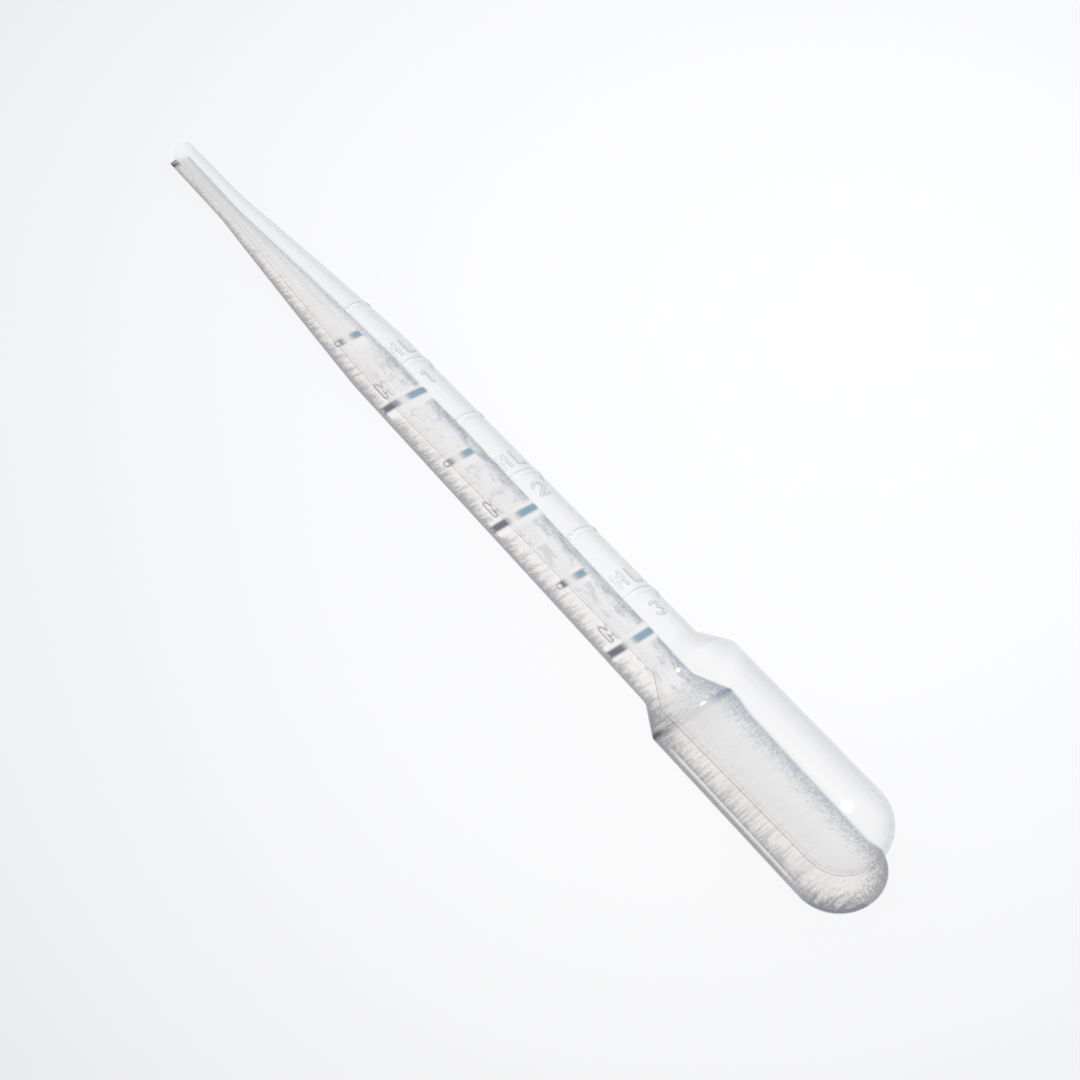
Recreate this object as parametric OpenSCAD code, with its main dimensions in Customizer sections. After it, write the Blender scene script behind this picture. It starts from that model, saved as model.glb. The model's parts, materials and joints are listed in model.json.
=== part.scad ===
// Graduated dropper pipette, moulded in one piece from soft translucent plastic.
// A straight nozzle opens through a long cone into a thin-walled stem, and a short shoulder
// joins the stem to a squeeze bulb with a round closed end. Raised lines and figures on the
// stem show the volume drawn up. It lies as it rests on a table: on the start of its stem and
// on the bulb's front edge, with its mouth just clear. Each of the two is a little flat there,
// which keeps it from rolling. +X runs from the mouth to the bulb and +Z is up, with the
// origin on the table under the middle of the pipette's box. Millimetres.

/* [Lengths along the axis] */
// Straight nozzle, from the mouth to the start of the cone
nozzle_l = 13.5; // [10:0.5:20]
// Cone between the nozzle and the stem
cone_l = 37; // [28:0.5:42]
// Straight stem, from the cone to the shoulder
stem_l = 65.5; // [62:0.5:80]
// Shoulder between the stem and the bulb
shoulder_l = 4.8; // [4:0.1:8]
// Bulb, from the shoulder to its round end
bulb_l = 35.2; // [26:0.2:48]

/* [Diameters and walls] */
// Outer diameter of the nozzle
nozzle_d = 3.1; // [2.8:0.1:4]
// Wall of the nozzle
nozzle_wall = 0.5; // [0.35:0.05:0.6]
// Outer diameter of the stem
stem_d = 7.8; // [7.4:0.1:8.4]
// Wall of the stem
stem_wall = 0.35; // [0.3:0.05:0.5]
// Outer diameter of the bulb at its front edge
bulb_d = 12.9; // [11:0.1:16]
// Outer diameter of the bulb where its round end starts
bulb_end_d = 12.5; // [10.6:0.1:15.6]
// Wall of the bulb
bulb_wall = 0.4; // [0.3:0.05:0.7]

/* [Blends] */
// How far the cone bows out of a straight line, at its middle
cone_bow = 0.09; // [0:0.01:0.15]
// Blend radius where the cone starts and where it ends
cone_blend_r = 40; // [20:5:60]
// Blend radius at the foot of the shoulder
shoulder_foot_r = 2; // [1:0.25:3]
// Blend radius at the bulb's front edge
bulb_edge_r = 0.8; // [0.5:0.1:1.5]
// Depth of the small flats that it rests on
rest_flat = 0.1; // [0.05:0.01:0.15]

/* [Graduation] */
// Volume between neighbouring lines, in millilitres
mark_step = 0.5; // [0.5:0.5:1]
// Highest volume with a line, in millilitres
mark_top = 3; // [1:1:3]
// Length of a line along the axis, at its foot
mark_w = 0.9; // [0.6:0.1:1.2]
// Height of the lines above the stem
mark_h = 0.2; // [0.1:0.05:0.3]
// Half of the angle that a whole millilitre's line covers
long_mark_half_a = 65; // [45:5:90]
// Half of the angle that a half millilitre's line covers
short_mark_half_a = 33; // [20:1:50]
// Angle from the top towards +Y of the middle of the lines
graduation_roll = 19; // [-45:1:45]

/* [Figures] */
// Height of the letters and numerals
glyph_h = 2.7; // [2:0.1:3.2]
// Width of one letter
letter_w = 1.4; // [1:0.1:1.6]
// Gap between the two letters
letter_gap = 0.9; // [0.6:0.1:1.2]
// Width of a numeral
numeral_w = 1.9; // [1.4:0.1:2.4]
// Width of a stroke
stroke_w = 0.35; // [0.25:0.05:0.45]
// Height of the strokes above the stem
stroke_h = 0.15; // [0.1:0.05:0.25]
// Gap between a line and the letters before it
letter_clear = 1.1; // [0.8:0.1:1.6]
// Gap between a line and the numeral after it
numeral_clear = 1.8; // [1.2:0.1:2.2]
// Angle from the middle of the lines to the middle of the figures
figure_turn = 6; // [0:1:15]

/* [Hidden] */
$fn = 96;

// Chords along the bowed cone, and in one blend of the outline
cone_steps = 8;
blend_steps = 6;
// Chords in one curved stroke of a numeral
curve_steps = 8;
// How far a line or a figure reaches into the wall that carries it
root_depth = 0.15;
mm3_per_ml = 1000;

nozzle_r = nozzle_d / 2;
stem_r = stem_d / 2;
bulb_r = bulb_d / 2;
bulb_end_r = bulb_end_d / 2;

// Stations along the axis, from the mouth
cone_start = nozzle_l;
cone_end = cone_start + cone_l;
stem_end = cone_end + stem_l;
bulb_start = stem_end + shoulder_l;
total_l = bulb_start + bulb_l;
dome_centre = total_l - bulb_end_r;

// --- Outline ---------------------------------------------------------------------------------

function unit(v) = v / norm(v);

function half_angle(a, b, c) = acos(unit(a - b) * unit(c - b)) / 2;

// Centre of the circle of radius r that touches both sides of the corner at b
function blend_centre(a, b, c, r) =
    b + unit(unit(a - b) + unit(c - b)) * r / sin(half_angle(a, b, c));

// Points of the arc of radius r that rounds the corner at b between a and c
function corner_arc(a, b, c, r) =
    let (centre = blend_centre(a, b, c, r), half = half_angle(a, b, c))
    let (first = b + unit(a - b) * r / tan(half) - centre)
    let (sweep = sign(cross(c - b, a - b)) * (180 - 2 * half))
    [
        for (i = [0 : blend_steps])
            let (turn = sweep * i / blend_steps)
            centre + [
                first.x * cos(turn) - first.y * sin(turn),
                first.x * sin(turn) + first.y * cos(turn)
            ]
    ];

function cone_line(tip_r, tube_r) = [
    for (i = [0 : cone_steps])
        let (t = i / cone_steps)
        [tip_r + (tube_r - tip_r) * t + cone_bow * 4 * t * (1 - t), cone_start + cone_l * t]
];

// Line of [radius, station] points from the mouth to the round end. Both the skin and the
// bore follow it, each at its own radii.
function side_line(tip_r, tube_r, front_r, end_r) =
    let (
        mouth = [tip_r, 0],
        cone = cone_line(tip_r, tube_r),
        foot = [tube_r, stem_end],
        front = [front_r, bulb_start],
        end = [end_r, dome_centre]
    )
    concat(
        [mouth],
        corner_arc(mouth, cone[0], cone[1], cone_blend_r),
        [for (i = [1 : cone_steps - 1]) cone[i]],
        corner_arc(cone[cone_steps - 1], cone[cone_steps], foot, cone_blend_r),
        corner_arc(cone[cone_steps], foot, front, shoulder_foot_r),
        corner_arc(foot, front, end, bulb_edge_r),
        [end]
    );

skin_line = side_line(nozzle_r, stem_r, bulb_r, bulb_end_r);
bore_line = side_line(
    nozzle_r - nozzle_wall, stem_r - stem_wall, bulb_r - bulb_wall, bulb_end_r - bulb_wall
);

// Half of a section: a side line closed along the axis, with a round end of its last radius
module half_section(line, mouth) {
    end_r = line[len(line) - 1].x;
    polygon(concat([[0, mouth], [line[0].x, mouth]], line, [[0, dome_centre]]));
    translate([0, dome_centre])
        intersection() {
            circle(r = end_r);
            square(end_r);
        }
}

module shell() {
    mouth_cut = 1;
    rotate_extrude()
        difference() {
            half_section(skin_line, 0);
            half_section(bore_line, -mouth_cut);
        }
}

// --- Graduation ------------------------------------------------------------------------------

function frustum_volume(a, b) = PI / 3 * (b.y - a.y) * (a.x * a.x + a.x * b.x + b.x * b.x);

// Volume in the bore between the mouth and a point of its line
function fill_volume(i) =
    i == 0 ? 0 : fill_volume(i - 1) + frustum_volume(bore_line[i - 1], bore_line[i]);

fill_table = [for (i = [0 : len(bore_line) - 1]) [fill_volume(i), bore_line[i].y]];
skin_table = [for (p = skin_line) [p.y, p.x]];

// Station up to which the pipette holds the given volume
function mark_station(ml) = lookup(ml * mm3_per_ml, fill_table);

// Outer radius at a station
function outer_r(station) = lookup(station, skin_table);

// Raised line around part of the stem, with flanks that slope down into the wall
module mark_line(station, half_a) {
    crest_w = mark_w / 2;
    root_w = crest_w + (mark_w - crest_w) * (mark_h + root_depth) / mark_h;
    root_r = outer_r(station) - root_depth;
    crest_r = outer_r(station) + mark_h;
    translate([0, 0, station])
        rotate([0, 0, -half_a])
            rotate_extrude(angle = 2 * half_a)
                polygon([
                    [root_r, -root_w / 2], [crest_r, -crest_w / 2],
                    [crest_r, crest_w / 2], [root_r, root_w / 2]
                ]);
}

// --- Figures ---------------------------------------------------------------------------------

function arc_points(centre, r, from, to) = [
    for (i = [0 : curve_steps])
        let (a = from + (to - from) * i / curve_steps)
        centre + r * [cos(a), sin(a)]
];

// Points beside a line of points, at half a stroke's distance, with mitred corners
function beside(points, side) = [
    for (i = [0 : len(points) - 1])
        let (before = unit(points[max(i, 1)] - points[max(i, 1) - 1]))
        let (after_i = min(i, len(points) - 2))
        let (after = unit(points[after_i + 1] - points[after_i]))
        let (across = unit([-before.y - after.y, before.x + after.x]))
        let (reach = side * stroke_w / 2 / (across * [-before.y, before.x]))
        points[i] + across * reach
];

// Stroke of constant width along the points
module path(points) {
    back = beside(points, -1);
    polygon(concat(
        beside(points, 1),
        [for (i = [len(back) - 1 : -1 : 0]) back[i]]
    ));
}

module letter_m() {
    inner = letter_w - stroke_w;
    dip = glyph_h * 0.45;
    thick = 2 * stroke_w;
    polygon([
        [0, 0], [0, glyph_h], [stroke_w, glyph_h], [letter_w / 2, dip],
        [inner, glyph_h], [letter_w, glyph_h], [letter_w, 0], [inner, 0],
        [inner, glyph_h - thick], [letter_w / 2, dip - thick],
        [stroke_w, glyph_h - thick], [stroke_w, 0]
    ]);
}

module letter_l() {
    path([[stroke_w / 2, glyph_h], [stroke_w / 2, stroke_w / 2], [letter_w, stroke_w / 2]]);
}

module numeral_one() {
    flag = numeral_w / 4;
    left = (numeral_w - stroke_w) / 2;
    polygon([
        [left, 0], [left, glyph_h - 1.5 * stroke_w],
        [left - flag, glyph_h - flag - 1.5 * stroke_w], [left - flag, glyph_h - flag],
        [left, glyph_h], [left + stroke_w, glyph_h], [left + stroke_w, 0]
    ]);
}

module numeral_two() {
    r = (numeral_w - stroke_w) / 2;
    path(concat(
        arc_points([numeral_w / 2, glyph_h - stroke_w / 2 - r], r, 165, -30),
        [[stroke_w, stroke_w / 2]]
    ));
    square([numeral_w, stroke_w]);
}

module numeral_three() {
    low_r = (glyph_h - stroke_w) * 0.28;
    high_r = (glyph_h - stroke_w) / 2 - low_r;
    path(concat(
        arc_points([numeral_w / 2, glyph_h - stroke_w / 2 - high_r], high_r, 150, -75),
        arc_points([numeral_w / 2, stroke_w / 2 + low_r], low_r, 75, -150)
    ));
}

module numeral(n) {
    if (n == 1) numeral_one();
    if (n == 2) numeral_two();
    if (n == 3) numeral_three();
}

// Wraps a flat figure onto the stem: its top points to the mouth, and it stands at a station
module on_stem(station) {
    skin_in = stem_r - root_depth;
    skin_out = stem_r + stroke_h;
    band_l = glyph_h + 4 * stroke_w;
    rotate([0, 0, figure_turn])
        intersection() {
            translate([0, 0, station])
                rotate([-90, 0, 0])
                    rotate([0, 90, 0])
                        linear_extrude(height = 2 * stem_r)
                            children();
            translate([0, 0, station - glyph_h - 2 * stroke_w])
                difference() {
                    cylinder(r = skin_out, h = band_l);
                    translate([0, 0, -1])
                        cylinder(r = skin_in, h = band_l + 2);
                }
        }
}

module figures(station, n) {
    pair_w = 2 * letter_w + letter_gap;
    on_stem(station - mark_w / 2 - letter_clear)
        translate([-pair_w / 2, 0]) {
            letter_m();
            translate([letter_w + letter_gap, 0])
                letter_l();
        }
    on_stem(station + mark_w / 2 + numeral_clear + glyph_h)
        translate([-numeral_w / 2, 0])
            numeral(n);
}

module graduation() {
    for (ml = [mark_step : mark_step : mark_top]) {
        station = mark_station(ml);
        whole = ml == floor(ml);
        if (station + mark_w < stem_end - shoulder_foot_r)
            mark_line(station, whole ? long_mark_half_a : short_mark_half_a);
        if (whole && station + mark_w / 2 + numeral_clear + glyph_h < stem_end - shoulder_foot_r)
            figures(station, ml);
    }
}

// --- Rest ------------------------------------------------------------------------------------

// Centre, as [radius, station], of the blend circle at the bulb's front edge
bulb_edge = blend_centre(
    [stem_r, stem_end], [bulb_r, bulb_start], [bulb_end_r, dome_centre], bulb_edge_r
);

// Angle between the axis and a table that touches the bulb's edge and the given point
function tilt_on(p) =
    let (rise = bulb_edge.x - p.x, run = bulb_edge.y - p.y)
    atan2(rise, run) + asin(bulb_edge_r / norm([rise, run]));

// The table meets the bulb's edge and the first point in front of it that is in the way
rest_tilt = min([for (p = skin_line) if (p.y < stem_end - shoulder_foot_r) tilt_on(p)]);
// Height of the middle of the mouth above the table, once the flats are cut
mouth_height =
    bulb_edge.x * cos(rest_tilt) - bulb_edge.y * sin(rest_tilt) + bulb_edge_r - rest_flat;
// Ends of the resting pipette's box along +X, from the middle of the mouth
box_start = -nozzle_r * sin(rest_tilt);
box_end = dome_centre * cos(rest_tilt) + bulb_end_r;

module at_rest() {
    difference() {
        translate([-(box_start + box_end) / 2, 0, mouth_height])
            rotate([0, 90 - rest_tilt, 0])
                rotate([0, 0, 180 - graduation_roll])
                    children();
        translate([-total_l, -bulb_d, -bulb_d])
            cube([2 * total_l, 2 * bulb_d, bulb_d]);
    }
}

module pipette() {
    color([0.92, 0.94, 0.95])
        at_rest() {
            shell();
            graduation();
        }
}

pipette();
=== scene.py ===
"""Looks of the graduated dropper pipette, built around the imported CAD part.

The visible piece is one closed, thin-walled shell. Its skin carries the raised lines, letters
and numerals, its bore is a second surface inside, and a rounded lip joins the two at the mouth.
Sizes are in millimetres up to the point where a vertex is placed, and then in metres. Turns
around the axis start at the top and grow towards +Y: named ones are in degrees, and those of a
grid of points in radians. A share runs from 0 to 1.
"""
import json
import math

import bpy
import numpy as np
from mathutils import Matrix, Vector


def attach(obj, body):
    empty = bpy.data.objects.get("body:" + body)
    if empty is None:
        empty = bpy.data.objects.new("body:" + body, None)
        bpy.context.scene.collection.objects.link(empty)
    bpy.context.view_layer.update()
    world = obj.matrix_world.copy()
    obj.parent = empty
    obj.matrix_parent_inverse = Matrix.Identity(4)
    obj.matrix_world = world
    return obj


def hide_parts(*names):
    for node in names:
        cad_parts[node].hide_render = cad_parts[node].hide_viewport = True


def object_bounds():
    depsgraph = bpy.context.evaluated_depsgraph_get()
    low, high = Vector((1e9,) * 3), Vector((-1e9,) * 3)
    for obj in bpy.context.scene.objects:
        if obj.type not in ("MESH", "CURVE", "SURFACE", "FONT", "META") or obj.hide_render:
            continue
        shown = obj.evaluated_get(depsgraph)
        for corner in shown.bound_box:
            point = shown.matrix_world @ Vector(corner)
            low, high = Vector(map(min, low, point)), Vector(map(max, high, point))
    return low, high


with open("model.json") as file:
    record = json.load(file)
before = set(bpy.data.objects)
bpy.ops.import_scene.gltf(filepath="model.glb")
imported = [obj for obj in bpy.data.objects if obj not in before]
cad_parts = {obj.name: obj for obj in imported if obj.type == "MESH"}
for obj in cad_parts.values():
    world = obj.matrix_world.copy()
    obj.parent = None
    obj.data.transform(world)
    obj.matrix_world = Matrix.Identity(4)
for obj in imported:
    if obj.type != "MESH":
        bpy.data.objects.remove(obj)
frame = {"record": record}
CAD_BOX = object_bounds()

MM = 0.001

# --- Sizes of the pipette, in millimetres and degrees -------------------------------------------

NOZZLE_L = 13.5
CONE_L = 37.0
STEM_L = 65.5
SHOULDER_L = 4.8
BULB_L = 35.2

NOZZLE_R = 3.1 / 2
NOZZLE_WALL = 0.5
STEM_R = 7.8 / 2
STEM_WALL = 0.35
BULB_R = 12.9 / 2
BULB_END_R = 12.5 / 2
BULB_WALL = 0.4

# How far the cone's side bows out, and the radii of the side line's rounded corners
CONE_BOW = 0.09
CONE_BLEND_R = 40.0
SHOULDER_FOOT_R = 2.0
BULB_EDGE_R = 0.8
LIP_R = 0.16

# Raised lines: they are long at each whole millilitre and short between
MARK_STEP_ML = 0.5
MARK_COUNT = 6
MARK_W = 0.9
MARK_H = 0.12
LONG_MARK_HALF_A = 65.0
SHORT_MARK_HALF_A = 33.0
MARK_ROLL = 19.0

# A small round nub ends each line
NUB_R = 0.4
NUB_H = 0.16

# Letters before each long line and a numeral after it
GLYPH_H = 2.7
LETTER_W = 1.4
LETTER_GAP = 0.9
NUMERAL_W = 1.9
STROKE_W = 0.35
STROKE_H = 0.1
STROKE_FLANK = 0.12
LETTER_CLEAR = 1.1
NUMERAL_CLEAR = 1.8
FIGURE_ROLL = MARK_ROLL - 6.0

# The height of the M's middle and the lower bowl's radius in the 3, as shares of their heights,
# and the turns at which the bowls of the 2 and the 3 start and end
M_DIP = 0.45
LOW_BOWL_R = 0.28
TWO_BOWL = (165, -30)
THREE_HIGH_BOWL = (150, -75)
THREE_LOW_BOWL = (75, -150)

# The mould's two parting lines: this is the turn of one, and the other is half a turn on
SEAM_ROLL = MARK_ROLL - 71.0
SEAM_W = 0.3
SEAM_H = 0.02

# Stations along the axis, from the mouth
CONE_START = NOZZLE_L
CONE_END = CONE_START + CONE_L
STEM_END = CONE_END + STEM_L
BULB_START = STEM_END + SHOULDER_L
TOTAL_L = BULB_START + BULB_L
DOME_CENTRE = TOTAL_L - BULB_END_R

# --- Steps of curves and of the mesh ------------------------------------------------------------

CONE_STEPS = 24
CORNER_STEPS = 12
LIP_STEPS = 3
SKIN_DOME_STEPS = 30
BORE_DOME_STEPS = 20

# Gaps between the skin's rows, in millimetres: at relief, at the bulb's edge, beside a raised
# line and on the shoulder, on the stem, on the nozzle, and elsewhere
FINE_GAP = 0.11
EDGE_GAP = 0.1
GLOW_GAP = 0.3
STEM_GAP = 0.6
NOZZLE_GAP = 1.0
PLAIN_GAP = 0.8
# How far past relief the finest rows reach, how far before the first line and the shoulder the
# rows come closer, and the same before and after the bulb's edge
FINE_MARGIN = 0.15
MARK_LEAD = 1
FOOT_LEAD = 3
EDGE_LEAD = 1.2
EDGE_TRAIL = 1
# The bore's gaps are wider, and two of its rows are never closer than the last of these
BORE_GAP = 1.5
BORE_CONE_GAP = 1.2
BORE_SHOULDER_GAP = 0.4
BORE_EDGE_TRAIL = 2
BORE_LEAST = 0.2

# Gaps between columns, in degrees: at the figures, elsewhere, and at the parting lines, and how
# far from their middle the figures reach
FINE_TURN = 1.3
PLAIN_TURN = 3.6
SEAM_STEP = 1.1
FIGURE_REACH = 36
# Two rows of the skin, or two columns, are never closer than this share of the fine gap
CLOSEST = 0.6

# --- The wall's pattern in the lamp's light -----------------------------------------------------
# The pattern is painted: dark bands, dark rims, streaks and bright patches in the shadow stand in
# for the light that the real relief and wall would bend.
#
# A pair ending in RISE is the place where a share starts to grow and the length of its growth.
# A pair ending in FALL is the place where a share has shrunk to 0 and the length of its fall.

# The turn around the axis that the key lamp shines from, in degrees
LAMP_TURN = 10.0

# Across the light, from -1 on the near side, which is towards -Y, to 1 on the far side
NEAR_RISE = (0.0, 0.3)
FRONT_RISE = (0.1, 0.32)
BACK_RISE = (0.05, 0.35)
BENT_RISE = (-0.4, 0.5)
# Down the light, from -1 on the lamp's side to 1 below
UNDER_RISE = (-0.15, 0.1)

# Along the axis, as stations
TIP_FALL = (30, 22)
DRAWN_RISE = (4, 6)
DRAWN_FALL = (CONE_END, 15)
STEM_RISE = (CONE_END - 6, 6)
STEM_FALL = (STEM_END + 3, 3)
SHOULDER_RISE = (STEM_END + 0.5, 2)
BULB_RISE = (BULB_START + 1, 4)
BULB_SIDE_FALL = (DOME_CENTRE, 4)
DOME_RISE = (DOME_CENTRE - 1, 4)

# How strong the wall's texture is, and what each part of the pipette adds to that
TEXTURE = 0.83
TIP_TEXTURE = -0.2
BULB_TEXTURE = 0.07
BULB_FRONT_TEXTURE = -0.17
DOME_TEXTURE = 0.3

# Where the shadow ends on the far side, how much further out that gets on the stem, over this
# length after the first long line, and on the dome, and how soft that end is
FAR_RIM = 0.86
STEM_RIM = 0.06
STEM_RIM_L = 10
DOME_RIM = 0.2
RIM_SOFT = 0.08

# The dark band of a raised line: half its width, the width of its soft edge, and what is left of
# it in the shadow's middle. Then the same two widths of the bright band around it
BAND_HALF_W = 0.85
BAND_EDGE = 0.5
BAND_MIDDLE = 0.1
GLOW_HALF_W = 1.9
GLOW_EDGE = 0.9

# The dark rim around a stroke or a nub: its distance, width and strength, and what the near side
# adds. Then how far the bright area around it reaches
FIGURE_RIM = 0.25
FIGURE_RIM_W = 0.11
RIM_SHADE = 0.18
NEAR_RIM_SHADE = 0.72
FIGURE_GLOW = 0.85

# The dark band of the bulb's edge: its strength, and what is left of it in the shadow's middle
CORNER_SHADE = 0.39
CORNER_MIDDLE = 0.45
CORNER_RISE = (0.3, 0.45)

# The dark line beside the bulb's parting line and the grey stretch on its other side, by their
# distance from it in millimetres
CREASE_PLACE = 0.8
CREASE_W = 0.25
CREASE_SHADE = 0.35
PAST_SEAM_RISE = (0.35, 0.3)
PAST_SEAM_FALL = (3.2, 0.3)
PAST_SEAM_SHADE = 0.2

# What the thicker wall of each part takes all over, and the width of the mouth's dark band
TIP_SHADE = 0.09
SHOULDER_SHADE = 0.07
BULB_SHADE = 0.03
MOUTH_BAND = 0.8

# How blue the plain far side is, and how strongly the painted dark lines along the cone's near
# side are drawn
PLAIN_BLUE = 0.45
DRAWN = 0.7
# A point with more texture than this is on the lower half
ON_LOWER_HALF = 0.3

# What streaks, spots and blotches take of the light at most, and what the near side adds
STREAKS = 0.08
NEAR_STREAKS = 0.24
SPOTS = 0.3
NEAR_SPOTS = -0.1
BLOTCHES = 0.26
# Features of the wall's noise to a millimetre, along the tube and across it
STREAKS_PER_MM = (3.0, 0.45)
SPOTS_PER_MM = (3.1, 2.6)
BLOTCHES_PER_MM = (0.35, 0.9)
FIBRES_PER_MM = (0.012, 2.2)

# --- The skin's look from outside ---------------------------------------------------------------

# Painted dark outlines of the relief, in place of the light that its flanks would bend: their
# width, what is left of them on the bulb's side of a raised line, and what they lose on the near
# side of the pipette
OUTLINE_W = 0.08
OUTLINE_BULB_SIDE = 0.4
OUTLINE_NEAR_LOSS = 0.6
# The wall hardly mirrors the lamp within this distance of the bulb's edge
DULL_EDGE = 0.8
# How much of the skin's look the lip has
LIP_SKIN = 0.4
# How milky a face is at most, what haze the near side loses, and what a dull place mirrors less
MOST_MILK = 0.05
NEAR_HAZE_LOSS = 0.85
DULL_LOSS = 0.85
# The mirror image: its strength front-on, what is added edge-on, and its roughness
MIRROR_FRONT_ON = 0.04
MIRROR_EDGE_ON = 0.2
ROUGHNESS = 0.2

# --- Colours ------------------------------------------------------------------------------------

CLEAR = (1, 1, 1, 1)
HAZE = (0.89, 0.892, 0.897, 1)
# Painted shade: the dark outlines that stand in for light bent at the relief's flanks
OUTLINE_SHADE = (0.53, 0.55, 0.58, 1)
# A painted dark limb on the near side, in place of the shadow seen in it
NEAR_LIMB_SHADE = (0.42, 0.43, 0.45, 1)
MILK_PASSED = (0.76, 0.77, 0.785, 1)
MILK_SENT_BACK = (0.3, 0.303, 0.31, 1)

# What is left of the lamp's light where the wall loses it all and where it keeps it all
LIGHT_LOST = (0.0, 0.012, 0.035, 1)
LIGHT_LOST_BLUE = (0.03, 0.24, 0.38, 1)
LIGHT_KEPT = (1.0, 0.995, 0.993, 1)
LIGHT_KEPT_WARM = (1.0, 0.985, 0.965, 1)

# The paper's colour carries painted light: lighter at its middle, darker further off
PAPER_LIT = (0.924, 0.937, 0.953, 1)
PAPER_SHADED = (0.888, 0.902, 0.924, 1)
FILL_LIGHT = (0.135, 0.145, 0.17, 1)
# What is seen far from the pipette: the paper's end and the world
PALE = (0.87, 0.88, 0.9, 1)

# --- Studio, in metres and degrees --------------------------------------------------------------

LAMP_PLACE = (0.0061, 0.0771, 0.4444)
LAMP_SIZE = 0.013
LAMP_WATTS = 1.95
LAMP_COLOUR = (1.0, 0.975, 0.94)

# Half the floor's side, and how far it lies below the flats that the pipette rests on
FLOOR_HALF = 4.0
FLOOR_DROP = 0.00002
# Painted light on the paper, against the lamp's fall-off: it is lightest at this place and gets
# darker over this distance from it
PAPER_MIDDLE = (0.069, -0.052, 0)
PAPER_FADE = 0.11
# Between these two distances from the origin it turns pale
PALE_SPAN = (0.14, 0.28)

CAMERA_AZIMUTH = 52.303
CAMERA_ELEVATION = 52.379
CAMERA_ROLL = 1.045
CAMERA_DISTANCE = 0.4872
CAMERA_TARGET = (0.00894, -0.0001, 0)
CAMERA_LENS = 121.06
CAMERA_SENSOR = 36.0
CAMERA_CLIP = (0.01, 20.0)


# --- Shares -------------------------------------------------------------------------------------

def smooth(t):
    t = np.clip(t, 0, 1)
    return t * t * (3 - 2 * t)


def rise(value, start, length):
    """The share that grows from 0 at the start to 1 at that length further on."""
    return smooth((value - start) / length)


def fall(value, end, length):
    """The share that shrinks from 1 at that length before the end to 0 at the end."""
    return smooth((end - value) / length)


def ridge(away, width):
    """The share that is 1 where away is 0 and fades on both sides over about that width."""
    return np.exp(-((away / width) ** 2))


# --- Outline ------------------------------------------------------------------------------------

def unit(v):
    return v / np.linalg.norm(v)


def rounded(points, corner, radius, steps):
    """Points of the arc of that radius that rounds one corner of a line of points."""
    a, b, c = (np.array(points[corner + i], float) for i in (-1, 0, 1))
    to_a, to_c = unit(a - b), unit(c - b)
    half = math.acos(float(np.clip(to_a @ to_c, -1, 1))) / 2
    centre = b + unit(to_a + to_c) * radius / math.sin(half)
    first, last = (b + way * radius / math.tan(half) - centre for way in (to_a, to_c))
    sweep = math.atan2(first[0] * last[1] - first[1] * last[0], float(first @ last))
    turns = np.linspace(0, sweep, steps + 1)
    return [
        centre + (first[0] * math.cos(t) - first[1] * math.sin(t),
                  first[0] * math.sin(t) + first[1] * math.cos(t))
        for t in turns
    ]


def side_line(tip_r, tube_r, front_r, end_r):
    """(stations, radii) of a side line from the mouth to the start of the round end."""
    cone = [
        (CONE_START + CONE_L * t, tip_r + (tube_r - tip_r) * t + CONE_BOW * 4 * t * (1 - t))
        for t in np.linspace(0, 1, CONE_STEPS + 1)
    ]
    points = [(0, tip_r), *cone, (STEM_END, tube_r), (BULB_START, front_r), (DOME_CENTRE, end_r)]
    corners = {1: CONE_BLEND_R, len(cone): CONE_BLEND_R,
               len(cone) + 1: SHOULDER_FOOT_R, len(cone) + 2: BULB_EDGE_R}
    line = []
    for i, point in enumerate(points):
        if i in corners:
            line += rounded(points, i, corners[i], CORNER_STEPS)
        else:
            line.append(np.array(point, float))
    line = np.array(line)
    return line[:, 0], line[:, 1]


SKIN = side_line(NOZZLE_R, STEM_R, BULB_R, BULB_END_R)
BORE = side_line(NOZZLE_R - NOZZLE_WALL, STEM_R - STEM_WALL,
                 BULB_R - BULB_WALL, BULB_END_R - BULB_WALL)


def mark_stations():
    """Stations of the lines: there the bore holds each step of volume, in millilitres."""
    s, r = BORE
    slices = math.pi / 3 * np.diff(s) * (r[:-1] ** 2 + r[:-1] * r[1:] + r[1:] ** 2)
    held = np.concatenate([[0], np.cumsum(slices)])
    return [float(np.interp(1000 * MARK_STEP_ML * (i + 1), held, s)) for i in range(MARK_COUNT)]


MARKS = mark_stations()
LONG_MARKS = MARKS[1::2]
LINES = [(mark, LONG_MARK_HALF_A if mark in LONG_MARKS else SHORT_MARK_HALF_A) for mark in MARKS]
LETTER_BASES = [m - MARK_W / 2 - LETTER_CLEAR for m in LONG_MARKS]
NUMERAL_BASES = [m + MARK_W / 2 + NUMERAL_CLEAR + GLYPH_H for m in LONG_MARKS]


# --- Raised lines and figures -------------------------------------------------------------------

def arc(centre, radius, start, end):
    turns = np.radians(np.linspace(start, end, CORNER_STEPS + 1))
    return [(centre[0] + radius * math.cos(t), centre[1] + radius * math.sin(t)) for t in turns]


def letter_m():
    left, right = STROKE_W / 2, LETTER_W - STROKE_W / 2
    top = GLYPH_H - STROKE_W / 2
    dip = GLYPH_H * M_DIP - STROKE_W / 2
    return [[(left, STROKE_W / 2), (left, top), (LETTER_W / 2, dip), (right, top),
             (right, STROKE_W / 2)]]


def letter_l():
    left, low = STROKE_W / 2, STROKE_W / 2
    return [[(left, GLYPH_H - low), (left, low), (LETTER_W - low, low)]]


def numeral_one():
    middle, top = NUMERAL_W / 2, GLYPH_H - STROKE_W / 2
    return [[(middle - NUMERAL_W / 4, top - NUMERAL_W / 4), (middle, top), (middle, STROKE_W / 2)]]


def numeral_two():
    r = (NUMERAL_W - STROKE_W) / 2
    low = STROKE_W / 2
    bowl = arc((NUMERAL_W / 2, GLYPH_H - STROKE_W / 2 - r), r, *TWO_BOWL)
    return [bowl + [(STROKE_W, low), (NUMERAL_W - low, low)]]


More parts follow.
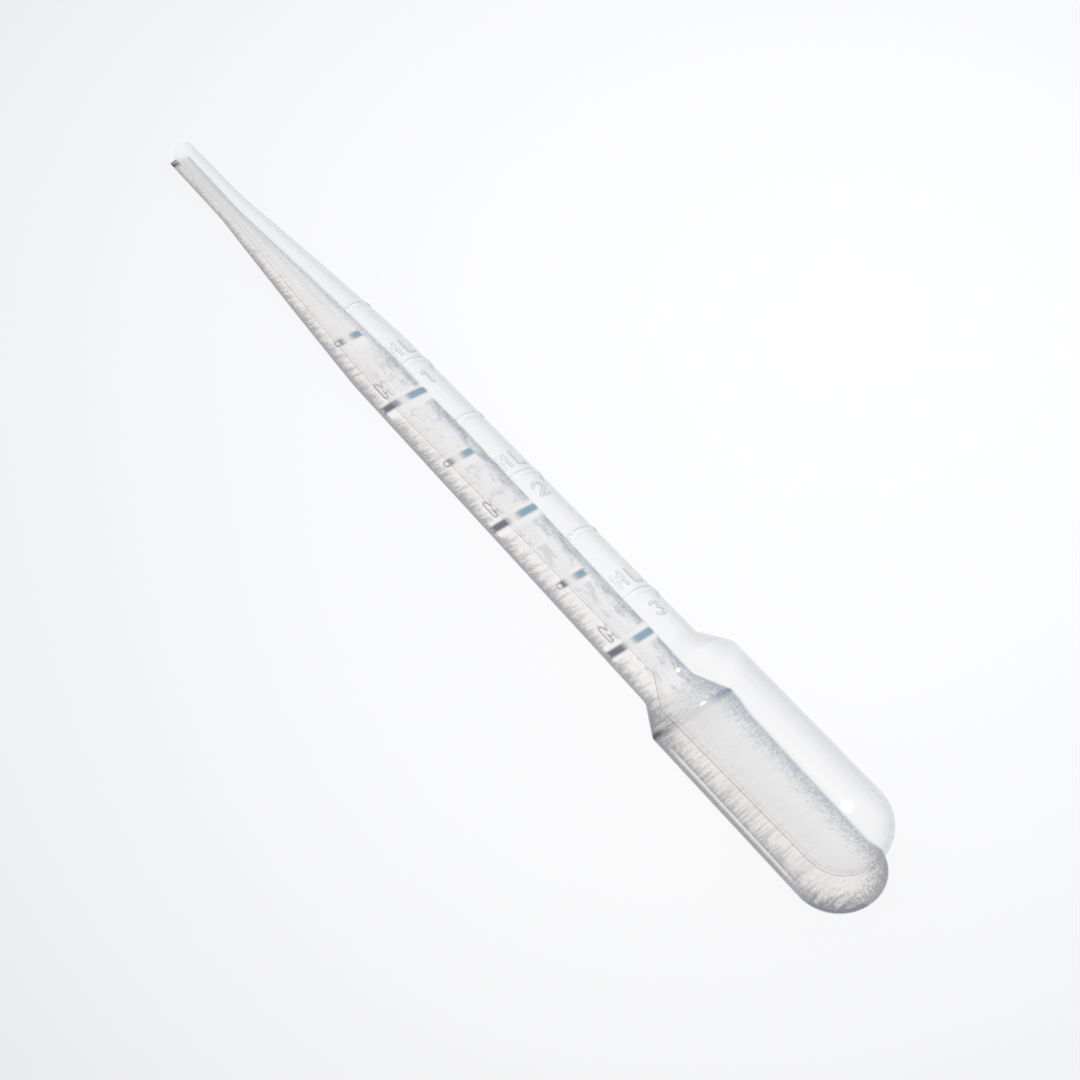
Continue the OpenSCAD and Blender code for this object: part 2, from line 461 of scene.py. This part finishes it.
def numeral_three():
    low_r = (GLYPH_H - STROKE_W) * LOW_BOWL_R
    high_r = (GLYPH_H - STROKE_W) / 2 - low_r
    high = arc((NUMERAL_W / 2, GLYPH_H - STROKE_W / 2 - high_r), high_r, *THREE_HIGH_BOWL)
    low = arc((NUMERAL_W / 2, STROKE_W / 2 + low_r), low_r, *THREE_LOW_BOWL)
    return [high + low]


def from_strokes(x, y, strokes):
    """How far each point (x, y) is from the middle of the nearest stroke."""
    nearest = np.full(x.shape, np.inf)
    for stroke in strokes:
        for (ax, ay), (bx, by) in zip(stroke[:-1], stroke[1:]):
            dx, dy = bx - ax, by - ay
            t = np.clip(((x - ax) * dx + (y - ay) * dy) / (dx * dx + dy * dy), 0, 1)
            nearest = np.minimum(nearest, np.hypot(x - ax - t * dx, y - ay - t * dy))
    return nearest


def shifted(strokes, dx):
    return [[(x + dx, y) for x, y in stroke] for stroke in strokes]


def off_centre(turn, middle):
    """Signed angle in radians from a middle line, given in degrees, within half a turn."""
    return (turn - math.radians(middle) + math.pi) % (2 * math.pi) - math.pi


def figures(station, turn):
    """Distance from the figures' strokes, in millimetres, over a grid of stations and turns."""
    across = STEM_R * np.sin(off_centre(turn, FIGURE_ROLL))
    facing = np.abs(off_centre(turn, FIGURE_ROLL)) < math.pi / 2
    pair_w = 2 * LETTER_W + LETTER_GAP
    pair = letter_m() + shifted(letter_l(), LETTER_W + LETTER_GAP)
    numerals = (numeral_one(), numeral_two(), numeral_three())
    sets = [(base, shifted(pair, -pair_w / 2)) for base in LETTER_BASES]
    sets += [(base, shifted(n, -NUMERAL_W / 2)) for base, n in zip(NUMERAL_BASES, numerals)]
    nearest = np.full(station.shape, np.inf)
    for base, strokes in sets:
        near = facing & (np.abs(station - (base - GLYPH_H / 2)) < GLYPH_H)
        found = from_strokes(across[near], base - station[near], strokes)
        nearest[near] = np.minimum(nearest[near], found)
    return nearest


def bands(station, turn, half_w, edge):
    """Share of a band along every raised line, with soft edges and ends, over the grid."""
    share = np.zeros(station.shape)
    for mark, half_a in LINES:
        spare = (math.radians(half_a) - np.abs(off_centre(turn, MARK_ROLL))) * STEM_R
        across = fall(np.abs(station - mark), half_w, edge)
        share = np.maximum(share, across * smooth(spare / (MARK_W / 2)))
    return share


def from_line_ends(station, turn):
    """Distance, in millimetres, from the nearest end of a raised line, over the grid."""
    nearest = np.full(station.shape, np.inf)
    for mark, half_a in LINES:
        for side in (-1, 1):
            away = STEM_R * off_centre(turn, MARK_ROLL + side * half_a)
            nearest = np.minimum(nearest, np.hypot(station - mark, away))
    return nearest


def seam(station, turn):
    """Share of the mould's two parting lines, half a turn apart, over the grid."""
    radius = np.interp(station, *SKIN)
    share = np.zeros(station.shape)
    for middle in (SEAM_ROLL, SEAM_ROLL + 180):
        away = np.abs(off_centre(turn, middle)) * radius
        share = np.maximum(share, smooth(1 - away / (SEAM_W / 2)))
    return share


def relief(station, turn, strokes, ends):
    """Height of the raised lines, nubs and figures above the skin, over the grid."""
    nubs = np.sqrt(np.clip(1 - (ends / NUB_R) ** 2, 0, 1))
    raised = fall(strokes, STROKE_W / 2 + STROKE_FLANK / 2, STROKE_FLANK)
    lines = bands(station, turn, MARK_W / 2, MARK_W / 4)
    return np.maximum.reduce([MARK_H * lines, NUB_H * nubs, STROKE_H * raised])


# --- The wall's look over the grid --------------------------------------------------------------

def across_light(turn):
    return np.sin(off_centre(turn, LAMP_TURN))


def painted_outline(station, turn, strokes, ends):
    """Share of the painted thin dark outlines of raised lines, figures and nubs, which stand in
    for the light their flanks would bend. It is weaker on the bulb's side of a line, and on the
    near side of the pipette."""
    nearest = np.minimum(np.abs(strokes - STROKE_W / 2), np.abs(ends - NUB_R))
    share = ridge(nearest, OUTLINE_W)
    for mark, half_a in LINES:
        past_side = np.abs(station - mark) - MARK_W / 2
        past_end = (np.abs(off_centre(turn, MARK_ROLL)) - math.radians(half_a)) * STEM_R
        outside = np.hypot(np.maximum(past_side, 0), np.maximum(past_end, 0))
        inside = np.minimum(np.maximum(past_side, past_end), 0)
        weight = np.where(station < mark, 1.0, OUTLINE_BULB_SIDE)
        share = np.maximum(share, weight * ridge(np.abs(outside + inside), OUTLINE_W))
    near = rise(-across_light(turn), *NEAR_RISE)
    return share * (1 - OUTLINE_NEAR_LOSS * near)


def dull(station, turn, strokes):
    """Share by which relief is too fine to mirror the lamp."""
    near_edge = fall(np.abs(station - BULB_START), 2 * DULL_EDGE, DULL_EDGE)
    near_figure = fall(strokes, 2 * STROKE_W, STROKE_W)
    near_line = bands(station, turn, MARK_W, MARK_W / 2)
    return np.maximum.reduce([near_edge, near_figure, near_line])


class WallLight:
    """How the skin passes the lamp's light, as shares over a grid of stations and turns. The
    pattern paints the dark bands, rims and bright patches that light bent by the relief and the
    wall gives in the shadow.
    """

    def __init__(self, station, turn, strokes, ends):
        self.station = station
        self.turn = turn
        self.from_relief = np.minimum(strokes, np.maximum(ends - NUB_R / 2, 0))
        self.across = across_light(turn)
        self.near = rise(-self.across, *NEAR_RISE)
        self.front = rise(-self.across, *FRONT_RISE)
        self.back = rise(self.across, *BACK_RISE)
        self.on_bulb = rise(station, *BULB_RISE)
        self.on_bulb_side = self.on_bulb * fall(station, *BULB_SIDE_FALL)
        self.on_dome = rise(station, *DOME_RISE)

    def texture(self):
        """How strong the wall's texture is. Only the lower half carries it."""
        under = rise(-np.cos(off_centre(self.turn, LAMP_TURN)), *UNDER_RISE)
        on_bulb = self.on_bulb * (BULB_TEXTURE + BULB_FRONT_TEXTURE * self.front)
        strength = TEXTURE + on_bulb + TIP_TEXTURE * fall(self.station, *TIP_FALL)
        return under * np.minimum(strength + DOME_TEXTURE * self.on_dome, 1)

    def inside(self):
        """All but the far rim, where the wall passes the light whole."""
        on_stem = rise(self.station, MARKS[1], STEM_RIM_L) * (1 - self.on_bulb)
        far_rim = FAR_RIM + STEM_RIM * on_stem + DOME_RIM * self.on_dome
        return 1 - rise(self.across, far_rim, RIM_SOFT)

    def band(self):
        """Dark bands of the raised lines, outside the figures and nubs."""
        sides = np.maximum(self.near, self.back)
        core = fall(self.from_relief, FIGURE_RIM, FIGURE_RIM)
        band = bands(self.station, self.turn, BAND_HALF_W, BAND_EDGE)
        return band * (BAND_MIDDLE + (1 - BAND_MIDDLE) * sides) * (1 - core)

    def corner(self):
        """The dark band of the bulb's edge."""
        band = fall(np.abs(self.station - BULB_START), BAND_HALF_W, BAND_HALF_W)
        sides = rise(np.abs(self.across), *CORNER_RISE)
        return CORNER_SHADE * band * (CORNER_MIDDLE + (1 - CORNER_MIDDLE) * sides)

    def rim(self):
        """Dark rims around the figures' strokes and the nubs."""
        rim = ridge(self.from_relief - FIGURE_RIM, FIGURE_RIM_W)
        return rim * (RIM_SHADE + NEAR_RIM_SHADE * self.near)

    def mouth(self):
        """The dark band of the mouth, on the near side."""
        return fall(self.station, MOUTH_BAND, MOUTH_BAND / 2) * self.front

    def crease(self):
        """The dark line and the grey stretch on the two sides of the bulb's parting line."""
        from_seam = off_centre(self.turn, SEAM_ROLL) * BULB_R
        past_seam = rise(-from_seam, *PAST_SEAM_RISE) * fall(-from_seam, *PAST_SEAM_FALL)
        line = ridge(from_seam - CREASE_PLACE, CREASE_W)
        return (CREASE_SHADE * line + PAST_SEAM_SHADE * past_seam) * self.on_bulb_side

    def thick(self):
        """What the thicker wall of the nozzle, the shoulder and the bulb takes all over."""
        on_shoulder = rise(self.station, *SHOULDER_RISE) * (1 - self.on_bulb)
        tip = TIP_SHADE * fall(self.station, *TIP_FALL)
        return np.maximum(tip, BULB_SHADE * self.on_bulb + SHOULDER_SHADE * on_shoulder)

    def calm(self, on_lower_half):
        """Where light gathers beside relief, so that no texture shows. A point of the lower half
        has the relief of the point above it."""
        above = math.radians(180 + 2 * LAMP_TURN) - self.turn
        turn = np.where(on_lower_half, above, self.turn)
        from_seam = off_centre(turn, SEAM_ROLL) * BULB_R
        return np.maximum.reduce([
            bands(self.station, turn, GLOW_HALF_W, GLOW_EDGE),
            fall(figures(self.station, turn), FIGURE_GLOW, FIGURE_GLOW / 2),
            ridge(from_seam, CREASE_W) * self.on_bulb_side,
        ])

    def shares(self):
        """What the material reads. shade: light bent away by relief; calm: gathered beside it;
        under: the texture's strength; front: the near side; blue: where what is lost is blue;
        drawn: painted dark lines along the cone; warm: where the light is warm; bent: the stem's
        blotches."""
        band, corner, texture, inside = self.band(), self.corner(), self.texture(), self.inside()
        dark = [band, corner, self.mouth(), self.rim(), self.crease(), self.thick()]
        shade = np.maximum.reduce(dark) * inside
        plain_or_dark = np.maximum(PLAIN_BLUE, np.maximum(band, corner))
        on_cone = fall(self.station, *DRAWN_FALL) * rise(self.station, *DRAWN_RISE)
        on_stem = rise(self.station, *STEM_RISE) * fall(self.station, *STEM_FALL)
        return {
            "shade": shade,
            "calm": self.calm(texture > ON_LOWER_HALF) * (1 - shade),
            "under": texture * inside,
            "front": self.front,
            "blue": self.back * plain_or_dark * (1 - self.on_dome),
            "drawn": DRAWN * self.front * on_cone,
            "warm": np.maximum(self.front, self.on_dome),
            "bent": on_stem * rise(self.across, *BENT_RISE),
        }


# --- Shell --------------------------------------------------------------------------------------

def spread(start, end, gap):
    return list(np.linspace(start, end, max(2, math.ceil((end - start) / gap) + 1)))


def merged(values, least):
    """Sorted values with none closer to the one before than the least gap."""
    kept = []
    for value in sorted(values):
        if not kept or value - kept[-1] >= least:
            kept.append(value)
    return kept


def rows(stretches, least):
    """Stations over stretches of (start, end, gap), none closer together than the least gap."""
    return merged([row for stretch in stretches for row in spread(*stretch)], least)


def skin_stations():
    stretches = [
        (LIP_R, CONE_START, NOZZLE_GAP),
        (CONE_START, MARKS[0] - MARK_LEAD, PLAIN_GAP),
        (MARKS[0] - MARK_LEAD, STEM_END - FOOT_LEAD, STEM_GAP),
        (STEM_END - FOOT_LEAD, BULB_START - EDGE_LEAD, GLOW_GAP),
        (BULB_START - EDGE_LEAD, BULB_START + EDGE_TRAIL, EDGE_GAP),
        (BULB_START + EDGE_TRAIL, DOME_CENTRE, PLAIN_GAP),
    ]
    for mark in MARKS:
        first, last = mark - MARK_W / 2 - FINE_MARGIN, mark + MARK_W / 2 + FINE_MARGIN
        stretches.append((first, last, FINE_GAP))
        stretches.append((mark - GLOW_HALF_W, mark + GLOW_HALF_W, GLOW_GAP))
    for base in LETTER_BASES + NUMERAL_BASES:
        stretches.append((base - GLYPH_H - FINE_MARGIN, base + FINE_MARGIN, FINE_GAP))
    return rows(stretches, FINE_GAP * CLOSEST)


def bore_stations():
    return rows([
        (LIP_R, CONE_START, BORE_GAP),
        (CONE_START, CONE_END, BORE_CONE_GAP),
        (CONE_END, STEM_END - FOOT_LEAD, BORE_GAP),
        (STEM_END - FOOT_LEAD, BULB_START + BORE_EDGE_TRAIL, BORE_SHOULDER_GAP),
        (BULB_START + BORE_EDGE_TRAIL, DOME_CENTRE, BORE_GAP),
    ], BORE_LEAST)


def turn_columns():
    """Turns around the axis, close together at the figures and the parting lines."""
    low, high = FIGURE_ROLL - FIGURE_REACH, FIGURE_ROLL + FIGURE_REACH
    least = FINE_TURN * CLOSEST
    columns = spread(low, high, FINE_TURN) + spread(high, low + 360, PLAIN_TURN)
    for side in (0, 180):
        middle = (SEAM_ROLL + side - low) % 360 + low
        columns += [middle + i * SEAM_STEP for i in range(-2, 3)]
    return np.radians([c for c in merged(columns, least) if c < low + 360 - least])


def rest_pose():
    """The matrix that lays the shell, built along +X from its mouth, where the part rests."""
    mount = next(m for m in frame["record"]["mounts"] if m["name"] == "tip_bore")
    along = -Vector(mount["axis"])
    place = Vector(mount["pos_m"])
    mouth_x = CAD_BOX[0][0] + MM * NOZZLE_R * along.z
    mouth = place - along * (place.x - mouth_x) / along.x
    side = Vector((0, 1, 0))
    turn = Matrix((along, side, along.cross(side))).transposed()
    return Matrix.Translation(mouth) @ turn.to_4x4()


def grid(stations, radii, turns):
    """Grids of station, radius and turn, with one row for each station."""
    station = np.repeat(stations[:, None], len(turns), 1)
    radius = np.repeat(radii[:, None], len(turns), 1)
    return station, radius, np.repeat(turns[None, :], len(stations), 0)


def surface(stations, line, end_r, dome_steps, turns):
    """The grids of one surface, from the mouth to near the pole of its round end."""
    lean = np.linspace(0, math.pi / 2, dome_steps + 1)[1:-1]
    dome_s, dome_r = DOME_CENTRE + end_r * np.sin(lean), end_r * np.cos(lean)
    radii = np.concatenate([np.interp(stations, *line), dome_r])
    return grid(np.concatenate([stations, dome_s]), radii, turns)


def lip(turns):
    """The grids of the mouth's rounded rim, from the bore's first row to the skin's."""
    inner, outer = NOZZLE_R - NOZZLE_WALL, NOZZLE_R
    lean = np.linspace(0, math.pi / 2, LIP_STEPS + 1)
    from_bore = [(LIP_R * (1 - math.sin(t)), inner + LIP_R * (1 - math.cos(t))) for t in lean[1:]]
    to_skin = [(LIP_R * (1 - math.cos(t)), outer - LIP_R * (1 - math.sin(t))) for t in lean[:-1]]
    line = np.array(from_bore + to_skin)
    return grid(line[:, 0], line[:, 1], turns)


def ring_faces(row_count, columns):
    """Quads between rings of points, and a fan at each end. The poles come after the rings."""
    index = np.arange(row_count * columns).reshape(row_count, columns)
    right = np.roll(index, -1, 1)
    quads = np.stack([index[:-1], index[1:], right[1:], right[:-1]], -1).reshape(-1, 4)
    inner_fan = np.stack([index[0], right[0], np.full(columns, row_count * columns)], -1)
    outer_fan = np.stack([right[-1], index[-1], np.full(columns, row_count * columns + 1)], -1)
    return quads.tolist() + inner_fan.tolist() + outer_fan.tolist()


def around_axis(station, radius, turn):
    """One list of the points (station, y, z) of the grids."""
    return np.stack([station, radius * np.sin(turn), radius * np.cos(turn)], -1).reshape(-1, 3)


def point_shares(shares, count, lip_start, skin_start):
    """Each share at every vertex: as given on the skin, and 0 in the bore. The lip is dull, and
    has only a part of the skin's look."""
    values = {name: np.zeros(count) for name in ("skin", *shares)}
    values["skin"][lip_start:skin_start] = LIP_SKIN
    values["skin"][skin_start:] = 1
    values["skin"][-2] = 0
    values["dull"][lip_start:skin_start] = 1
    for name, share in shares.items():
        values[name][skin_start:-2] = share.ravel()
    return values


def store(mesh, name, kind, field, values):
    attribute = mesh.attributes.new(name, kind, "POINT")
    attribute.data.foreach_set(field, values.astype(np.float32).ravel())


def skin_surface(turns):
    """The skin's grids with its relief, and the shares of its look."""
    station, radius, turn = surface(skin_stations(), SKIN, BULB_END_R, SKIN_DOME_STEPS, turns)
    strokes = figures(station, turn)
    ends = from_line_ends(station, turn)
    shares = WallLight(station, turn, strokes, ends).shares()
    shares["edge"] = painted_outline(station, turn, strokes, ends)
    shares["dull"] = dull(station, turn, strokes)
    radius = radius + relief(station, turn, strokes, ends) + SEAM_H * seam(station, turn)
    return (station, radius, turn), shares


def shell_mesh(pose):
    """One closed mesh of rings of points: the bore from its pole, the lip, and the skin to its
    pole. Where the pose would sink it into the table, its skin is flat."""
    turns = turn_columns()
    bore = surface(bore_stations(), BORE, BULB_END_R - BULB_WALL, BORE_DOME_STEPS, turns)
    rim = lip(turns)
    skin, shares = skin_surface(turns)

    parts = ([g[::-1] for g in bore], rim, skin)
    station, radius, turn = (np.concatenate([part[i] for part in parts]) for i in range(3))
    poles = [(TOTAL_L - BULB_WALL, 0, 0), (TOTAL_L, 0, 0)]
    points = np.concatenate([around_axis(station, radius, turn), poles])
    verts = MM * points @ np.array(pose.to_3x3()).T + pose.translation
    verts[:, 2] = np.maximum(verts[:, 2], 0)

    mesh = bpy.data.meshes.new("pipette_shell")
    mesh.from_pydata(verts.tolist(), [], ring_faces(*station.shape))
    mesh.validate()
    mesh.update()
    mesh.polygons.foreach_set("use_smooth", [True] * len(mesh.polygons))

    lip_start = bore[0].size
    skin_start = lip_start + rim[0].size
    for name, values in point_shares(shares, len(verts), lip_start, skin_start).items():
        store(mesh, name, "FLOAT", "value", values)
    # The place on a tube of the stem's radius, for textures that keep their size all along
    tube = np.concatenate([around_axis(station, STEM_R, turn), poles])
    store(mesh, "wall", "FLOAT_VECTOR", "vector", tube)
    return mesh


# --- Materials ----------------------------------------------------------------------------------

class Nodes:
    """Short calls for building one material's node tree."""

    def __init__(self, tree):
        self.tree = tree
        self.tree.nodes.clear()

    def add(self, kind, **values):
        node = self.tree.nodes.new(kind)
        for name, value in values.items():
            setattr(node, name, value)
        return node

    def put(self, socket, value):
        if isinstance(value, bpy.types.NodeSocket):
            self.tree.links.new(value, socket)
        else:
            socket.default_value = value

    def math(self, operation, a, b=0.0, c=0.0, clamp=False):
        node = self.add("ShaderNodeMath", operation=operation, use_clamp=clamp)
        for socket, value in zip(node.inputs, (a, b, c)):
            self.put(socket, value)
        return node.outputs[0]

    def plus(self, a, b):
        return self.math("ADD", a, b)

    def times(self, a, b):
        return self.math("MULTIPLY", a, b)

    def times_plus(self, a, b, c):
        return self.math("MULTIPLY_ADD", a, b, c)

    def attribute(self, name):
        return self.add("ShaderNodeAttribute", attribute_name=name).outputs["Fac"]

    def noise(self, per_mm, detail):
        """Noise with that many features to a millimetre along the tube and across it."""
        along, across = per_mm
        place = self.add("ShaderNodeAttribute", attribute_name="wall").outputs["Vector"]
        stretch = self.add("ShaderNodeMapping")
        stretch.inputs["Scale"].default_value = (along, across, across)
        self.put(stretch.inputs["Vector"], place)
        node = self.add("ShaderNodeTexNoise")
        self.put(node.inputs["Vector"], stretch.outputs[0])
        node.inputs["Scale"].default_value = 1.0
        node.inputs["Detail"].default_value = detail
        return node.outputs["Fac"]

    def ramp(self, value, span, levels=(0.0, 1.0)):
        """A smooth change from the first level to the second over that span of the value."""
        node = self.add("ShaderNodeMapRange", interpolation_type="SMOOTHSTEP")
        for socket, v in zip(node.inputs, (value, *span, *levels)):
            self.put(socket, v)
        return node.outputs[0]

    def rays(self, *kinds):
        """1 for a ray of one of those kinds, and 0 for the others."""
        path = self.add("ShaderNodeLightPath")
        found = path.outputs[f"Is {kinds[0]} Ray"]
        for kind in kinds[1:]:
            found = self.math("ADD", found, path.outputs[f"Is {kind} Ray"], clamp=True)
        return found

    def shader(self, kind, **inputs):
        node = self.add(kind)
        for name, value in inputs.items():
            self.put(node.inputs[name], value)
        return node.outputs[0]

    def mix_shader(self, factor, a, b):
        node = self.add("ShaderNodeMixShader")
        for socket, value in zip(node.inputs, (factor, a, b)):
            self.put(socket, value)
        return node.outputs[0]

    def add_shader(self, a, b):
        node = self.add("ShaderNodeAddShader")
        self.put(node.inputs[0], a)
        self.put(node.inputs[1], b)
        return node.outputs[0]

    def mix_colour(self, factor, a, b):
        node = self.add("ShaderNodeMix", data_type="RGBA")
        self.put(node.inputs[0], factor)
        self.put(node.inputs[6], a)
        self.put(node.inputs[7], b)
        return node.outputs[2]


def film(n, graze, skin, front):
    """One face of the wall: a clear film with haze, painted dark outlines of the relief, painted
    dark lines along the cone, and a trace of milk, in faint lines along the tube and where it is
    seen edge-on."""
    fibre = n.noise(FIBRES_PER_MM, 1.0)

    cone_lines = n.times(n.ramp(fibre, (0.5, 0.6), (0.0, 0.5)), n.attribute("drawn"))
    cone_lines = n.times(cone_lines, n.ramp(graze, (0.15, 0.4), (1.0, 0.0)))
    drawn = n.math("MAXIMUM", n.attribute("edge"), cone_lines)
    haze = n.times(n.ramp(graze, (0.1, 0.8)), skin)
    haze = n.times(haze, n.times_plus(front, -NEAR_HAZE_LOSS, 1.0))
    colour = n.mix_colour(drawn, n.mix_colour(haze, CLEAR, HAZE), OUTLINE_SHADE)
    clear = n.shader("ShaderNodeBsdfTransparent", Color=colour)

    passed = n.shader("ShaderNodeBsdfTranslucent", Color=MILK_PASSED)
    sent_back = n.shader("ShaderNodeBsdfDiffuse", Color=MILK_SENT_BACK)
    lines = n.ramp(fibre, (0.35, 0.7), (0.0, MOST_MILK))
    edge_on = n.ramp(graze, (0.3, 0.95), (0.0, MOST_MILK))
    share = n.times_plus(n.ramp(graze, (0.2, 0.4)), lines, edge_on)
    return n.mix_shader(n.times(share, skin), clear, n.add_shader(sent_back, passed))


def seen_wall(n, graze, skin, front):
    """What is seen of the wall: its film, a weak mirror image that grows where it is seen
    edge-on, and a painted dark limb on the near side, in place of the shadow that the near limb
    shows."""
    mirror = n.times_plus(n.math("POWER", graze, 5.0), MIRROR_EDGE_ON, MIRROR_FRONT_ON)
    mirror = n.times(mirror, n.times_plus(n.attribute("dull"), -DULL_LOSS, 1.0))
    gloss = n.shader("ShaderNodeBsdfGlossy", Roughness=ROUGHNESS)
    body = n.mix_shader(mirror, film(n, graze, skin, front), gloss)
    limb = n.shader("ShaderNodeBsdfTransparent", Color=NEAR_LIMB_SHADE)
    return n.mix_shader(n.times(n.ramp(graze, (0.82, 0.96), (0.0, 0.8)), front), body, limb)


def texture_loss(n, graze, front):
    """The share of the lamp's light that one face loses in its texture: streaks across the tube,
    more of them on the near side, small spots, more of them on the far side, both more where the
    light grazes the wall, an even part that also grows there, and the stem's soft blotches."""
    streak = n.plus(n.noise(STREAKS_PER_MM, 4.0), n.times(graze, 0.5))
    streak_strength = n.times_plus(front, NEAR_STREAKS, STREAKS)
    spot = n.plus(n.noise(SPOTS_PER_MM, 4.0), n.times(graze, 0.4))
    spot = n.plus(spot, n.ramp(graze, (0.0, 0.32), (-0.12, 0.0)))
    spot_strength = n.times_plus(front, NEAR_SPOTS, SPOTS)
    blotch = n.ramp(n.noise(BLOTCHES_PER_MM, 2.5), (0.47, 0.6), (0.0, BLOTCHES))

    lost = n.times(n.ramp(streak, (0.5, 0.8)), streak_strength)
    lost = n.times_plus(n.ramp(spot, (0.48, 0.77)), spot_strength, lost)
    lost = n.plus(lost, n.ramp(graze, (0.05, 0.5), (0.0, 0.2)))
    lost = n.plus(lost, n.ramp(graze, (0.4, 0.8), (0.03, 0.08)))
    lost = n.times_plus(blotch, n.attribute("bent"), lost)
    textured = n.math("SUBTRACT", n.attribute("under"), n.attribute("calm"), clamp=True)
    return n.times(lost, textured)


def lit_wall(n, graze, skin, front):
    """What one face of the wall lets through of the lamp's light."""
    most_kept, most_shade = 0.99, 0.9
    shade = n.times(n.attribute("shade"), most_shade)
    lost = n.plus(texture_loss(n, graze, front), shade)
    kept = n.math("SUBTRACT", most_kept, n.times(lost, skin), clamp=True)
    dark = n.mix_colour(n.attribute("blue"), LIGHT_LOST, LIGHT_LOST_BLUE)
    tint = n.mix_colour(n.attribute("warm"), LIGHT_KEPT, LIGHT_KEPT_WARM)
    return n.shader("ShaderNodeBsdfTransparent", Color=n.mix_colour(kept, dark, tint))


def soft_plastic():
    """Translucent low-density plastic. Its thin wall hardly bends what shows through it, and
    passes the lamp's light by a pattern of its own."""
    material = bpy.data.materials.new("soft_plastic")
    material.use_nodes = True
    n = Nodes(material.node_tree)
    skin, front = n.attribute("skin"), n.attribute("front")
    facing = n.add("ShaderNodeLayerWeight")
    facing.inputs["Blend"].default_value = 0.5
    graze = facing.outputs["Facing"]
    seen = seen_wall(n, graze, skin, front)
    lit = lit_wall(n, graze, skin, front)
    output = n.add("ShaderNodeOutputMaterial")
    n.put(output.inputs["Surface"], n.mix_shader(n.rays("Shadow", "Diffuse"), seen, lit))
    return material


def paper():
    """White paper with painted light: a little darker away from its middle, against the lamp's
    fall-off. Far from the pipette, where the lamp's light runs out, it is seen pale to the
    horizon."""
    material = bpy.data.materials.new("paper")
    material.use_nodes = True
    n = Nodes(material.node_tree)
    place = n.add("ShaderNodeTexCoord").outputs["Object"]
    away = n.add("ShaderNodeVectorMath", operation="DISTANCE")
    n.put(away.inputs[0], place)
    away.inputs[1].default_value = PAPER_MIDDLE
    # Painted light: the paper darkens away from its middle
    painted_falloff = n.ramp(away.outputs["Value"], (0.0, PAPER_FADE))
    sheet = n.shader("ShaderNodeBsdfDiffuse", Color=n.mix_colour(painted_falloff, PAPER_LIT, PAPER_SHADED))
    reach = n.add("ShaderNodeVectorMath", operation="LENGTH")
    n.put(reach.inputs[0], place)
    far = n.times(n.ramp(reach.outputs["Value"], PALE_SPAN), n.rays("Camera", "Glossy"))
    pale = n.shader("ShaderNodeEmission", Color=PALE)
    output = n.add("ShaderNodeOutputMaterial")
    n.put(output.inputs["Surface"], n.mix_shader(far, sheet, pale))
    return material


# --- Pieces -------------------------------------------------------------------------------------

def add_pipette():
    pose = rest_pose()
    piece = bpy.data.objects.new("pipette_shell", shell_mesh(pose))
    bpy.context.scene.collection.objects.link(piece)
    piece.data.materials.append(soft_plastic())
    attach(piece, "root")
    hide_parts("pipette")


def add_floor():
    half = FLOOR_HALF
    corners = [(-half, -half, 0), (half, -half, 0), (half, half, 0), (-half, half, 0)]
    mesh = bpy.data.meshes.new("floor")
    mesh.from_pydata(corners, [], [(0, 1, 2, 3)])
    mesh.materials.append(paper())
    floor = bpy.data.objects.new("floor", mesh)
    floor.location.z = -FLOOR_DROP
    bpy.context.scene.collection.objects.link(floor)


# --- Studio -------------------------------------------------------------------------------------

def look_at(thing, place, target, roll=0.0):
    """Points an object's -Z at the target, with its +Y up, turned by roll about its own view."""
    forward = (Vector(target) - Vector(place)).normalized()
    turn = forward.to_track_quat("-Z", "Y").to_matrix().to_4x4()
    thing.matrix_world = Matrix.Translation(place) @ turn @ Matrix.Rotation(roll, 4, "Z")


def add_lamp():
    """A small, bright disk, which gives the shadow its sharp edges."""
    lamp = bpy.data.lights.new("key", "AREA")
    lamp.shape = "DISK"
    lamp.size = LAMP_SIZE
    lamp.energy = LAMP_WATTS
    lamp.color = LAMP_COLOUR
    key = bpy.data.objects.new("key", lamp)
    bpy.context.scene.collection.objects.link(key)
    key.visible_transmission = False
    look_at(key, Vector(LAMP_PLACE), (0, 0, 0))


def add_world():
    """A weak bluish fill light, in a world that is itself seen pale."""
    world = bpy.data.worlds.new("studio")
    bpy.context.scene.world = world
    world.use_nodes = True
    n = Nodes(world.node_tree)
    fill = n.shader("ShaderNodeBackground", Color=FILL_LIGHT)
    shown = n.shader("ShaderNodeBackground", Color=PALE)
    seen = n.rays("Camera", "Glossy", "Transmission")
    output = n.add("ShaderNodeOutputWorld")
    n.put(output.inputs["Surface"], n.mix_shader(seen, fill, shown))


def add_camera():
    """A long lens that looks down on the pipette from the front right, slightly rolled."""
    azimuth, elevation = math.radians(CAMERA_AZIMUTH), math.radians(CAMERA_ELEVATION)
    target = Vector(CAMERA_TARGET)
    towards = Vector((math.sin(azimuth) * math.cos(elevation),
                      -math.cos(azimuth) * math.cos(elevation), math.sin(elevation)))
    data = bpy.data.cameras.new("camera")
    data.sensor_width = CAMERA_SENSOR
    data.lens = CAMERA_LENS
    data.clip_start, data.clip_end = CAMERA_CLIP
    camera = bpy.data.objects.new("camera", data)
    bpy.context.scene.collection.objects.link(camera)
    look_at(camera, target + towards * CAMERA_DISTANCE, target, math.radians(CAMERA_ROLL))
    bpy.context.scene.camera = camera


add_pipette()
add_floor()
add_lamp()
add_world()
add_camera()
bpy.context.scene.view_settings.view_transform = "Standard"
